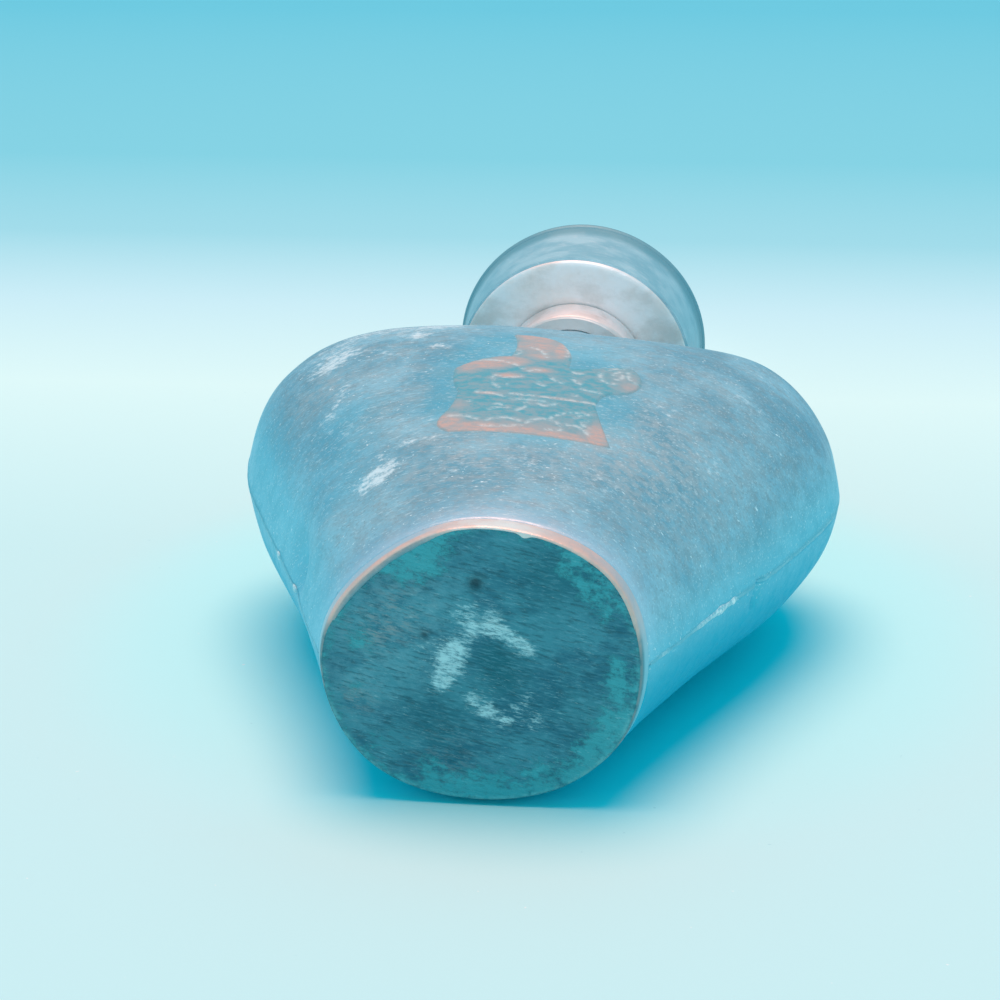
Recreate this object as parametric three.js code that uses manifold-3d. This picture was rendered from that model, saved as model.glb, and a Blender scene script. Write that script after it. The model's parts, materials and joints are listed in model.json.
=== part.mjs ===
// A feeding bottle of tinned copper sheet, lying on its back: millimetres, +Z up off the floor.
// The bottle is modelled upright, foot at z = 0 and front towards -Y, and then laid down.
import * as THREE from "three";
import { mergeVertices } from "three/addons/utils/BufferGeometryUtils.js";
import Module from "manifold-3d";

const wasm = await Module();
wasm.setup();

// Clearances
const jointGap = 0.3;
const threadGap = 0.25;

// Foot
const footWidth = 40;
const footDepth = 38;
const bandHeight = 2.6;
const lipThickness = 0.65;
const ledgeWidth = 2;
const plateThickness = 1.5;

// Body, as half sizes at a height above the foot
const wall = 1.3;
const halfWidth = 45.2;
const widestHeight = 77;
const frontDepth = 23.7;
const frontSwellHeight = 66;
const rearDepth = 24.9;
const rearShoulderHeight = 84;
const bodyHeight = 108;
const crownRadius = 8.5;
const sectionFullness = 0.17;
const sectionSquaredHeight = 66;
const sectionRoundingLength = 20;
const flankFlare = 10.2;
const flankHandle = 34;
const waistHandle = 22;
const shoulderHandle = 20;
const crownReach = 24.5;
const crownDrop = 5.5;
const frontHandle = 26;
const frontTaper = 1.3;
const frontTopHandle = 20;
const frontShoulderHandle = 14;
const frontCrownReach = 8;
const frontCrownDrop = 11;
const rearShoulderHandle = 9;
const rearCrownReach = 11;
const rearCrownDrop = 4.5;
const seamRadius = 1.1;
const seamEnd = 14;

// Applied ornament on the front: reaches to the side and heights above its own foot
const ornamentFoot = 29.3;
const ornamentThickness = 0.5;
const flareReach = 12.4;
const flareHeight = 5;
const waistReach = 9.7;
const waistHeight = 12;
const lobeReach = 15.7;
const lobeHeight = 22.6;
const lobeRadius = 4.6;
const leafReach = 11.4;
const leafHeight = 22;
const crestReach = 4.4;
const crestFoot = 25.2;
const crestHeight = 38.6;

// Neck
const neckRadius = 10;
const neckBore = 8.2;
const neckLength = 20.2;
const neckTail = 4.5;
const threadDepth = 0.65;
const threadLength = 7.6;
const mouthChamfer = 0.5;
const collarRadius = 12.8;
const collarHeight = 3.2;
const washerThickness = 1;

// Cap, measured from the underside of its floor
const socketWall = 2;
const socketDepth = 7.8;
const socketBead = 0.4;
const socketBeadHeight = 1.6;
const floorThickness = 1;
const floorRadius = 19.7;
const floorCorner = 1.8;
const floorFlange = 4;
const milkHole = 2;
const skirtThickness = 0.9;
const skirtFoot = 0.9;
const skirtFootRadius = 20.9;
const skirtRimRadius = 22.4;
const capHeight = 17.6;
const rimWireRadius = 0.9;

// Teat, measured from the inside of the cap's floor
const teatFlangeRadius = 7;
const teatFlangeHeight = 1.1;
const teatWaistRadius = 3.4;
const teatWaistHeight = 9;
const teatBulbRadius = 4.9;
const teatBulbHeight = 19.5;
const teatLength = 26;
const teatBore = 1.2;
const teatHole = 0.5;
const teatHoleLength = 2.5;

// Facets
const bodyRows = 26;
const bodyColumns = 20;
const roundSegments = 40;
const teatSegments = 28;
const seamSteps = 30;
const seamSides = 8;
const arcSteps = 4;
const teatSteps = 14;

// Tolerances of the geometry code
const mergeDistance = 1e-4;
const placeTolerance = 1e-7;
const slightTurn = 1e-3;
const slightRise = 1e-2;

// Materials
const pewter = new THREE.MeshStandardMaterial({ color: 0x8fb4c2, roughness: 0.42, metalness: 0.85 });
const solder = new THREE.MeshStandardMaterial({ color: 0xb9d3dc, roughness: 0.5, metalness: 0.8 });
const copper = new THREE.MeshStandardMaterial({ color: 0xc79a8c, roughness: 0.35, metalness: 0.9 });
const patina = new THREE.MeshStandardMaterial({ color: 0x246b7b, roughness: 0.65, metalness: 0.5 });
const leather = new THREE.MeshStandardMaterial({ color: 0x5a4636, roughness: 0.8, metalness: 0 });

// A boolean solid from a geometry, and a geometry from a boolean solid
function solidOf(geometry) {
  const bare = geometry.clone();
  bare.deleteAttribute("normal");
  bare.deleteAttribute("uv");
  const merged = mergeVertices(bare, mergeDistance);
  return new wasm.Manifold(
    new wasm.Mesh({
      numProp: 3,
      vertProperties: new Float32Array(merged.attributes.position.array),
      triVerts: new Uint32Array(merged.index.array),
    }),
  );
}

function geometryOf(solid) {
  const mesh = solid.getMesh();
  const geometry = new THREE.BufferGeometry();
  geometry.setAttribute("position", new THREE.BufferAttribute(mesh.vertProperties, 3));
  geometry.setIndex(new THREE.BufferAttribute(mesh.triVerts, 1));
  return geometry;
}

function piece(name, geometry, material) {
  const mesh = new THREE.Mesh(geometry, material);
  mesh.name = name;
  return mesh;
}

// Turns a closed profile of radius and height round the bottle's axis
function turned(points, segments = roundSegments) {
  const outline = points.map(([radius, height]) => new THREE.Vector2(radius, height));
  outline.push(outline[0].clone());
  return new THREE.LatheGeometry(outline, segments).rotateX(Math.PI / 2);
}

// Points of a quarter arc about a centre, from one angle to another
function arc(centreRadius, centreHeight, radius, from, to) {
  const curve = new THREE.EllipseCurve(centreRadius, centreHeight, radius, radius, from, to, from > to);
  return curve.getPoints(arcSteps).map((point) => [point.x, point.y]);
}

// Profiles of the body: half size against height, up to the swell and then over it to the crown
function profile(lower, swellHandle, crownHandle) {
  const crown = new THREE.Vector2(crownRadius, bodyHeight);
  const path = new THREE.CurvePath();
  path.add(lower);
  path.add(new THREE.CubicBezierCurve(lower.getPoint(1), swellHandle, crownHandle, crown));
  return path;
}

const sideProfile = profile(
  new THREE.CubicBezierCurve(
    new THREE.Vector2(footWidth / 2, 0),
    new THREE.Vector2(footWidth / 2 + flankFlare, flankHandle),
    new THREE.Vector2(halfWidth, widestHeight - waistHandle),
    new THREE.Vector2(halfWidth, widestHeight),
  ),
  new THREE.Vector2(halfWidth, widestHeight + shoulderHandle),
  new THREE.Vector2(crownRadius + crownReach, bodyHeight - crownDrop),
);
const frontProfile = profile(
  new THREE.CubicBezierCurve(
    new THREE.Vector2(footDepth / 2, 0),
    new THREE.Vector2(footDepth / 2 + frontTaper, frontHandle),
    new THREE.Vector2(frontDepth, frontSwellHeight - frontTopHandle),
    new THREE.Vector2(frontDepth, frontSwellHeight),
  ),
  new THREE.Vector2(frontDepth, frontSwellHeight + frontShoulderHandle),
  new THREE.Vector2(crownRadius + frontCrownReach, bodyHeight - frontCrownDrop),
);

// The back runs straight from the foot to the rear shoulder, so the bottle lies steadily on it
const rearSlope = (rearDepth - footDepth / 2) / rearShoulderHeight;
const lyingTilt = Math.atan(rearSlope);
const rearProfile = profile(
  new THREE.LineCurve(
    new THREE.Vector2(footDepth / 2, 0),
    new THREE.Vector2(rearDepth, rearShoulderHeight),
  ),
  new THREE.Vector2(rearDepth + rearSlope * rearShoulderHandle, rearShoulderHeight + rearShoulderHandle),
  new THREE.Vector2(crownRadius + rearCrownReach, bodyHeight - rearCrownDrop),
);

// The first place along a curve, from 0 to 1, where a test turns true
function firstPlace(test) {
  let low = 0;
  let high = 1;
  while (high - low > placeTolerance) {
    const middle = (low + high) / 2;
    if (test(middle)) high = middle;
    else low = middle;
  }
  return high;
}

function placeOf(path, height) {
  return firstPlace((place) => path.getPoint(place).y >= height);
}

function sizeAt(path, height) {
  return path.getPoint(placeOf(path, height)).x;
}

// Sections are ovals at the foot and square up a little towards the shoulder
function sectionPower(height) {
  const rise = THREE.MathUtils.smoothstep(height, 0, sectionSquaredHeight);
  const fall = THREE.MathUtils.clamp((bodyHeight - height) / sectionRoundingLength, 0, 1);
  return 1 - sectionFullness * rise * fall;
}

const sections = new Map();

function sectionAt(height) {
  if (!sections.has(height)) {
    sections.set(height, {
      side: sizeAt(sideProfile, height),
      front: sizeAt(frontProfile, height),
      rear: sizeAt(rearProfile, height),
      power: sectionPower(height),
    });
  }
  return sections.get(height);
}

// A point of the body's outer surface, at an angle about the axis and a height
function skin(angle, height) {
  const section = sectionAt(height);
  const cosine = Math.cos(angle);
  const sine = Math.sin(angle);
  const depth = sine < 0 ? section.front : section.rear;
  return new THREE.Vector3(
    section.side * Math.sign(cosine) * Math.abs(cosine) ** section.power,
    depth * Math.sign(sine) * Math.abs(sine) ** section.power,
    height,
  );
}

function aroundAt(angle, height) {
  return skin(angle + slightTurn, height).sub(skin(angle - slightTurn, height));
}

// The same point moved inwards, square to the surface or level
function under(angle, height, inset) {
  const above = Math.min(height + slightRise, bodyHeight);
  const below = Math.max(height - slightRise, 0);
  const along = skin(angle, above).sub(skin(angle, below));
  const normal = aroundAt(angle, height).cross(along).normalize();
  return skin(angle, height).addScaledVector(normal, -inset);
}

function levelUnder(angle, height, inset) {
  const around = aroundAt(angle, height);
  const normal = new THREE.Vector3(around.y, -around.x, 0).normalize();
  return skin(angle, height).addScaledVector(normal, -inset);
}

// A grid of points wrapped on itself along its columns, and along its rows or capped by strips
function gridGeometry(rows, closedRows) {
  const columns = rows[0].length;
  const index = [];
  const at = (row, column) => (row % rows.length) * columns + (column % columns);
  const quad = (a, b, c, d) => index.push(a, b, c, a, c, d);
  const lastRow = closedRows ? rows.length : rows.length - 1;
  for (let row = 0; row < lastRow; row++) {
    for (let column = 0; column < columns; column++) {
      quad(at(row, column), at(row, column + 1), at(row + 1, column + 1), at(row + 1, column));
    }
  }
  if (!closedRows) {
    const end = rows.length - 1;
    for (let column = 0; column < columns / 2 - 1; column++) {
      const back = columns - 1 - column;
      quad(at(0, column), at(0, back), at(0, back - 1), at(0, column + 1));
      quad(at(end, column), at(end, column + 1), at(end, back - 1), at(end, back));
    }
  }
  const geometry = new THREE.BufferGeometry();
  geometry.setFromPoints(rows.flat());
  geometry.setIndex(index);
  return geometry;
}

// Heights from one level to another, evenly spaced along the side profile
function bodyHeights(from, to) {
  const start = placeOf(sideProfile, from);
  const end = placeOf(sideProfile, to);
  const heights = [];
  for (let row = 0; row <= bodyRows; row++) {
    heights.push(sideProfile.getPoint(THREE.MathUtils.lerp(start, end, row / bodyRows)).y);
  }
  return heights;
}

// Half of the body as a sheet between two insets, its edges clear of the solder in the side seams
function halfSheet(isFront, from, to, outerInset, innerInset) {
  const rows = bodyHeights(from, to).map((height) => {
    const section = sectionAt(height);
    const depth = isFront ? section.front : section.rear;
    const edgeAngle = Math.asin(((seamRadius + jointGap) / depth) ** (1 / section.power));
    const first = (isFront ? Math.PI : 0) + edgeAngle;
    const sweep = Math.PI - 2 * edgeAngle;
    const outer = [];
    const inner = [];
    for (let column = 0; column <= bodyColumns; column++) {
      const angle = first + (sweep * column) / bodyColumns;
      outer.push(under(angle, height, outerInset));
      inner.push(under(angle, height, innerInset));
    }
    return outer.concat(inner.reverse());
  });
  return gridGeometry(rows, false);
}

const neckHole = new THREE.CylinderGeometry(
  neckRadius + jointGap,
  neckRadius + jointGap,
  bodyHeight,
  roundSegments,
);
neckHole.rotateX(Math.PI / 2).translate(0, 0, bodyHeight);

function bodyShell(isFront) {
  const sheet = halfSheet(isFront, bandHeight + jointGap, bodyHeight, 0, wall);
  return geometryOf(solidOf(sheet).subtract(solidOf(neckHole)));
}

// A round bead of solder lies between the edges of the two halves
function seamBead(side) {
  const start = placeOf(sideProfile, bandHeight + jointGap);
  const end = firstPlace((place) => {
    const point = sideProfile.getPoint(place);
    return point.y > widestHeight && point.x < seamEnd;
  });
  const points = [];
  for (let step = 0; step <= seamSteps; step++) {
    const place = THREE.MathUtils.lerp(start, end, step / seamSteps);
    const tangent = sideProfile.getTangent(place);
    const outline = sideProfile.getPoint(place);
    const reach = outline.x - (tangent.y * wall) / 2;
    points.push(new THREE.Vector3(side * reach, 0, outline.y + (tangent.x * wall) / 2));
  }
  const section = new THREE.Shape().absarc(0, 0, seamRadius, 0, 2 * Math.PI);
  return new THREE.ExtrudeGeometry(section, {
    steps: seamSteps,
    curveSegments: seamSides / 2,
    extrudePath: new THREE.CatmullRomCurve3(points),
  });
}

// The foot band is rebated: the base plate sits in its lip, and the halves stand on its ledge
function footBand() {
  const plateSeat = plateThickness + jointGap;
  const section = [
    [0, 0],
    [lipThickness, 0],
    [lipThickness, plateSeat],
    [ledgeWidth, plateSeat],
    [ledgeWidth, bandHeight],
    [0, bandHeight],
  ];
  const rows = [];
  for (let step = 0; step < roundSegments; step++) {
    const angle = (2 * Math.PI * step) / roundSegments;
    rows.push(section.map(([inset, height]) => levelUnder(angle, height, inset)));
  }
  return gridGeometry(rows, true);
}

function basePlate() {
  const outline = new THREE.Shape();
  for (let step = 0; step < roundSegments; step++) {
    const point = levelUnder((2 * Math.PI * step) / roundSegments, 0, lipThickness + jointGap);
    if (step === 0) outline.moveTo(point.x, point.y);
    else outline.lineTo(point.x, point.y);
  }
  return new THREE.ExtrudeGeometry(outline, { depth: plateThickness, bevelEnabled: false });
}

// The ornament's outline: flared foot, waist, round lobe on the right, curled crest, and leaf on the left
function ornamentOutline() {
  const lobeCentre = lobeReach - lobeRadius;
  const crestMiddle = (crestFoot + crestHeight) / 2;
  const shape = new THREE.Shape();
  shape.moveTo(-flareReach, 0);
  shape.lineTo(flareReach, 0);
  shape.quadraticCurveTo(waistReach, flareHeight, waistReach, waistHeight);
  shape.lineTo(lobeCentre, lobeHeight - lobeRadius);
  shape.absarc(lobeCentre, lobeHeight, lobeRadius, -Math.PI / 2, Math.PI / 2);
  shape.lineTo(crestReach, crestFoot);
  shape.quadraticCurveTo(crestReach, crestHeight, -crestReach, crestHeight);
  shape.quadraticCurveTo(0, crestMiddle, -crestReach, crestFoot);
  shape.quadraticCurveTo(-leafReach, crestFoot, -leafReach, leafHeight);
  shape.quadraticCurveTo(-leafReach, waistHeight, -waistReach, waistHeight);
  shape.quadraticCurveTo(-waistReach, flareHeight, -flareReach, 0);
  return shape;
}

function ornament() {
  const cutter = new THREE.ExtrudeGeometry(ornamentOutline(), {
    depth: bodyHeight,
    bevelEnabled: false,
    curveSegments: 2 * arcSteps,
  });
  cutter.rotateX(Math.PI / 2).translate(0, 0, ornamentFoot);
  const layer = halfSheet(true, bandHeight, bodyHeight, -jointGap - ornamentThickness, -jointGap);
  return geometryOf(solidOf(layer).intersect(solidOf(cutter)));
}

// The neck is one turned tube through the shoulder, plain below and threaded above
const neckMouth = bodyHeight + neckLength;

function neckTube() {
  const root = neckRadius - threadDepth;
  const threadStart = neckMouth - threadLength;
  return turned([
    [neckBore, bodyHeight - neckTail],
    [neckRadius, bodyHeight - neckTail],
    [neckRadius, threadStart],
    [root, threadStart + threadDepth],
    [root, neckMouth - mouthChamfer],
    [root - mouthChamfer, neckMouth],
    [neckBore, neckMouth],
  ]);
}

function neckCollar() {
  const bead = collarHeight / 2;
  const bottom = bodyHeight + jointGap;
  const inner = neckRadius + jointGap;
  return turned([
    [inner, bottom],
    ...arc(collarRadius - bead, bottom + bead, bead, -Math.PI / 2, Math.PI / 2),
    [inner, bottom + collarHeight],
  ]);
}

// Pieces of the cap stand on the underside of its floor, at height 0
const socketBore = neckRadius + threadGap;

function sealWasher() {
  return turned([
    [neckBore, -washerThickness - jointGap],
    [neckRadius - jointGap, -washerThickness - jointGap],
    [neckRadius - jointGap, -jointGap],
    [neckBore, -jointGap],
  ]);
}

function capSocket() {
  const outer = socketBore + socketWall;
  const bead = outer + socketBead;
  return turned([
    [socketBore, -socketDepth],
    [outer, -socketDepth],
    [bead, -socketDepth + socketBead],
    [bead, -socketDepth + socketBeadHeight],
    [outer, -socketDepth + socketBeadHeight + socketBead],
    [outer, -jointGap],
    [socketBore, -jointGap],
  ]);
}

function capFloor() {
  const inner = floorCorner - floorThickness;
  const centre = floorRadius - floorCorner;
  return turned([
    [milkHole, 0],
    ...arc(centre, floorCorner, floorCorner, -Math.PI / 2, 0),
    [floorRadius, floorFlange],
    [floorRadius - floorThickness, floorFlange],
    ...arc(centre, floorCorner, inner, 0, -Math.PI / 2),
    [milkHole, floorThickness],
  ]);
}

// The skirt flares in a slack curve from the floor to the wired rim
function capSkirt() {
  const rise = capHeight - skirtFoot;
  const outer = new THREE.QuadraticBezierCurve(
    new THREE.Vector2(skirtFootRadius, skirtFoot),
    new THREE.Vector2(skirtFootRadius, skirtFoot + rise / 2),
    new THREE.Vector2(skirtRimRadius, capHeight),
  );
  const face = outer.getPoints(arcSteps).map((point) => [point.x, point.y]);
  const back = face.map(([radius, height]) => [radius - skirtThickness, height]).reverse();
  return turned([...face, ...back]);
}

function rimWire() {
  const ring = new THREE.TorusGeometry(
    skirtRimRadius - skirtThickness / 2,
    rimWireRadius,
    2 * arcSteps,
    roundSegments,
  );
  return ring.translate(0, 0, capHeight + jointGap + rimWireRadius);
}

function teat() {
  const bottom = floorThickness + jointGap;
  const outer = new THREE.SplineCurve([
    new THREE.Vector2(teatFlangeRadius, bottom + teatFlangeHeight),
    new THREE.Vector2((teatFlangeRadius + teatWaistRadius) / 2, bottom + 2 * teatFlangeHeight),
    new THREE.Vector2(teatWaistRadius, bottom + teatWaistHeight),
    new THREE.Vector2(teatBulbRadius, bottom + teatBulbHeight),
    new THREE.Vector2(teatBulbRadius / 2, bottom + teatLength - teatHoleLength / 2),
    new THREE.Vector2(teatHole, bottom + teatLength),
  ]);
  const outline = [
    [teatBore, bottom],
    [teatFlangeRadius, bottom],
    ...outer.getPoints(teatSteps).map((point) => [point.x, point.y]),
    [teatHole, bottom + teatLength - teatHoleLength],
    [teatBore, bottom + teatLength - teatHoleLength - teatBore],
  ];
  return turned(outline, teatSegments);
}

const upright = new THREE.Group();
upright.add(
  piece("front_shell", bodyShell(true), pewter),
  piece("rear_shell", bodyShell(false), pewter),
  piece("left_seam", seamBead(-1), solder),
  piece("right_seam", seamBead(1), solder),
  piece("foot_band", footBand(), copper),
  piece("base_plate", basePlate(), patina),
  piece("ornament", ornament(), copper),
  piece("neck_tube", neckTube(), pewter),
  piece("neck_collar", neckCollar(), pewter),
);

const cap = new THREE.Group();
cap.position.z = neckMouth + washerThickness + 2 * jointGap;
cap.add(
  piece("seal_washer", sealWasher(), leather),
  piece("cap_socket", capSocket(), copper),
  piece("cap_floor", capFloor(), copper),
  piece("cap_skirt", capSkirt(), pewter),
  piece("cap_rim_wire", rimWire(), copper),
  piece("teat", teat(), pewter),
);
upright.add(cap);

// Laid on its back, then moved so that the floor is z = 0 and the middle of its plan is the origin
upright.rotation.x = lyingTilt - Math.PI / 2;
const bottle = new THREE.Group();
bottle.add(upright);
const reach = new THREE.Box3().setFromObject(bottle, true);
const middle = reach.getCenter(new THREE.Vector3());
upright.position.set(-middle.x, -middle.y, -reach.min.z);

export default bottle;
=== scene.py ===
import json
import math
import bpy
import numpy as np
from mathutils import Matrix, Vector, noise
from mathutils.geometry import delaunay_2d_cdt


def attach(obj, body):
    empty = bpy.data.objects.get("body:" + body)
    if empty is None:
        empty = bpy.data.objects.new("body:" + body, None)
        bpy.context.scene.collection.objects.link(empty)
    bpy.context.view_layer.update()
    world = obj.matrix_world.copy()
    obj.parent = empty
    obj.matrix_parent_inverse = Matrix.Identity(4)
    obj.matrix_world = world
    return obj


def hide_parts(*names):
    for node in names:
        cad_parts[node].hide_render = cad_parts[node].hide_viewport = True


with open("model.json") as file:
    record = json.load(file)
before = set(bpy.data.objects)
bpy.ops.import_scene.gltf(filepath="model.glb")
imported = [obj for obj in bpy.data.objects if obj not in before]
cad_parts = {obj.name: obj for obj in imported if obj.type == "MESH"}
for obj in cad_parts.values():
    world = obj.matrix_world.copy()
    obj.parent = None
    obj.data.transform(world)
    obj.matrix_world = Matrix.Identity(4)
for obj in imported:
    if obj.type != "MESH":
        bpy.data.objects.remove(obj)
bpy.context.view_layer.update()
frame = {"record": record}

# The bottle is drawn upright in millimetres, foot at the origin and front towards -Y,
# then laid on its back where the solids are
footMount = frame["record"]["mounts"][0]
along = -Vector(footMount["axis"])
across = Vector((1, 0, 0))
rearward = along.cross(across)
millimetre = 0.001
layDown = (
    Matrix.Translation(footMount["pos_m"])
    @ Matrix((across, rearward, along)).transposed().to_4x4()
    @ Matrix.Scale(millimetre, 4)
)


# Mesh helpers
def addObject(name, data):
    thing = bpy.data.objects.new(name, data)
    bpy.context.scene.collection.objects.link(thing)
    return thing


def addPiece(name, points, faces, finish, body, node, masks=None, sharp=40):
    mesh = bpy.data.meshes.new(name)
    mesh.from_pydata(np.asarray(points, float).reshape(-1, 3).tolist(), [], faces)
    mesh.transform(layDown)
    for mask, values in (masks or {}).items():
        values = np.broadcast_to(values, np.shape(points)[:-1]).astype(np.float32)
        layer = mesh.attributes.new(mask, "FLOAT", "POINT")
        layer.data.foreach_set("value", values.ravel())
    mesh.shade_smooth()
    mesh.set_sharp_from_angle(angle=math.radians(sharp))
    mesh.materials.append(finish)
    piece = addObject(name, mesh)
    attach(piece, body)
    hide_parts(node)
    return piece


def thicken(piece, wall):
    sheet = piece.modifiers.new("sheet", "SOLIDIFY")
    sheet.thickness = wall * millimetre
    sheet.offset = -1


def gridFaces(rows, columns, loopRows=False, loopColumns=True):
    faces = []
    for row in range(rows if loopRows else rows - 1):
        nextRow = (row + 1) % rows
        for column in range(columns if loopColumns else columns - 1):
            nextColumn = (column + 1) % columns
            faces.append((
                row * columns + column,
                row * columns + nextColumn,
                nextRow * columns + nextColumn,
                nextRow * columns + column,
            ))
    return faces


def curve(*handles, steps=40):  # a Bezier curve through any number of handles
    t = np.linspace(0, 1, steps)[:, None]
    rows = [np.asarray(handle, float) + 0 * t for handle in handles]
    while len(rows) > 1:
        rows = [a + (b - a) * t for a, b in zip(rows, rows[1:])]
    return rows[0]


def rounded(radius, height, size, start, end, steps=7):  # an arc in a turned profile, in degrees
    angle = np.radians(np.linspace(start, end, steps))
    return np.stack([radius + size * np.cos(angle), height + size * np.sin(angle)], axis=-1)


def smooth(value):
    value = np.clip(value, 0, 1)
    return value * value * (3 - 2 * value)


def bell(gap, reach):  # 1 at the middle, fading with distance
    return np.exp(-0.5 * (gap / reach) ** 2)


def uneven(points, size, seed):  # smooth noise about a size in millimetres, from -1 to 1
    flat = np.asarray(points, float).reshape(-1, 3) / size + seed
    return np.array([noise.noise(point) for point in flat]).reshape(np.shape(points)[:-1])


def fullTurn(segments):
    return np.linspace(0, 2 * math.pi, segments, endpoint=False)[None, :]


def turned(profile, segments, lift=0, waver=0, waverSize=14, seed=0):
    profile = np.asarray(profile, float)
    angle = fullTurn(segments)
    radius = profile[:, :1] + 0 * angle
    height = profile[:, 1:] + lift + 0 * angle
    points = np.stack([radius * np.cos(angle), radius * np.sin(angle), height], axis=-1)
    if waver:  # as a share of the radius
        points[..., :2] *= 1 + waver * uneven(points, waverSize, seed)[..., None]
    return points, gridFaces(len(profile), segments, loopRows=True)


def gapToLine(points, line):
    line = np.asarray(line, float)
    best = np.full(np.shape(points)[:-1], np.inf)
    for start, end in zip(line[:-1], line[1:]):
        step = end - start
        share = np.clip((points - start) @ step / max(step @ step, 1e-9), 0, 1)
        best = np.minimum(best, np.linalg.norm(points - start - share[..., None] * step, axis=-1))
    return best


# The nodes of a material or of the room, and the colour mixed so far
class Mixer:
    def __init__(self, holder, colours):
        holder.use_nodes = True
        self.holder, self.tree, self.colours = holder, holder.node_tree, colours

    def fill(self, node, inputs):
        for name, value in inputs.items():
            socket = node.inputs[name]
            if isinstance(value, bpy.types.NodeSocket):
                self.tree.links.new(value, socket)
            elif isinstance(value, tuple) and len(socket.default_value) == 4:
                socket.default_value = (*value, 1)
            else:
                socket.default_value = value

    def add(self, kind, inputs, **settings):
        node = self.tree.nodes.new("ShaderNode" + kind)
        for name, value in settings.items():
            setattr(node, name, value)
        self.fill(node, inputs)
        return node

    def cells(self, size, stretch=(1, 1, 1), turn=0, shift=0):  # of size millimetres, drawn out
        layout = {
            "Vector": self.add("TexCoord", {}).outputs["Object"],
            "Scale": tuple(size * millimetre * s for s in stretch),
            "Rotation": (0, turn, 0),
            "Location": (shift, shift, shift),
        }
        return self.add("Mapping", layout, vector_type="TEXTURE").outputs["Vector"]

    def grain(self, size, detail=5, roughness=0.6, **layout):
        field = {"Scale": 1, "Detail": detail, "Roughness": roughness}
        return self.add("TexNoise", {"Vector": self.cells(size, **layout), **field}).outputs["Fac"]

    def specks(self, size):  # distance to the nearest of many scattered points
        return self.add("TexVoronoi", {"Vector": self.cells(size), "Scale": 1}).outputs["Distance"]

    def span(self, value, low, high, start=0.0, end=1.0, kind="SMOOTHSTEP"):
        inputs = {"Value": value, "From Min": low, "From Max": high, "To Min": start, "To Max": end}
        return self.add("MapRange", inputs, interpolation_type=kind).outputs["Result"]

    def patches(self, size, low, high, start=0.0, end=1.0, **kind):  # grain, cut at two levels
        return self.span(self.grain(size, **kind), low, high, start, end)

    def maths(self, operation, a, b):
        return self.add("Math", {0: a, 1: b}, operation=operation, use_clamp=True).outputs["Value"]

    def times(self, *shares):  # a name stands for a mask painted on the mesh
        total = None
        for share in shares:
            if isinstance(share, str):
                share = self.add("Attribute", {}, attribute_name=share).outputs["Fac"]
            total = share if total is None else self.maths("MULTIPLY", total, share)
        return total

    def torn(self, mask, weight, field, low, high):  # a painted place whose edge the grain tears
        return self.span(self.maths("ADD", self.times(mask, weight), field), low, high)

    def blended(self, share, a, b):
        a, b = (self.colours[c] if isinstance(c, str) else c for c in (a, b))
        inputs = {"Factor": share, "A": a, "B": b}
        return self.add("Mix", inputs, data_type="RGBA").outputs["Result"]

    def coat(self, colour, *shares):  # laid over the last colour by the product of its shares
        self.colour = self.blended(self.times(*shares), self.colour, colour)

    def dress(self, roughness, *bumps):  # each bump a height field and a depth in millimetres
        inputs = {"Base Color": self.colour, "Roughness": roughness}
        for height, depth in bumps:
            bump = {"Height": height, "Distance": depth * millimetre, "Strength": 1}
            if "Normal" in inputs:
                bump["Normal"] = inputs["Normal"]
            inputs["Normal"] = self.add("Bump", bump).outputs["Normal"]
        self.fill(self.tree.nodes["Principled BSDF"], inputs)
        return self.holder


def startFinish(name, colours, metal, specular=0.5, edgeTint=(1, 1, 1)):
    mix = Mixer(bpy.data.materials.new(name), colours)
    gloss = {"Metallic": metal, "Specular IOR Level": specular, "Specular Tint": edgeTint}
    mix.fill(mix.tree.nodes["Principled BSDF"], gloss)
    return mix


# Finishes
pewterColours = {
    "dark": (0.22, 0.42, 0.52),
    "light": (0.41, 0.62, 0.71),
    "brown": (0.28, 0.33, 0.35),
    "spot": (0.16, 0.27, 0.33),
    "chalk": (0.80, 0.92, 0.97),
    "fleck": (0.90, 0.96, 0.99),
    # paler skin just above the foot and on the neck pieces: partly polish, partly a painted
    # highlight
    "polished": (0.66, 0.75, 0.87),
    "copper": (0.43, 0.51, 0.55),
    "glow": (0.20, 0.66, 0.80),
    "shade": (0.0, 0.47, 0.63),
    "halo": (0.10, 0.52, 0.68),
}


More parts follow.
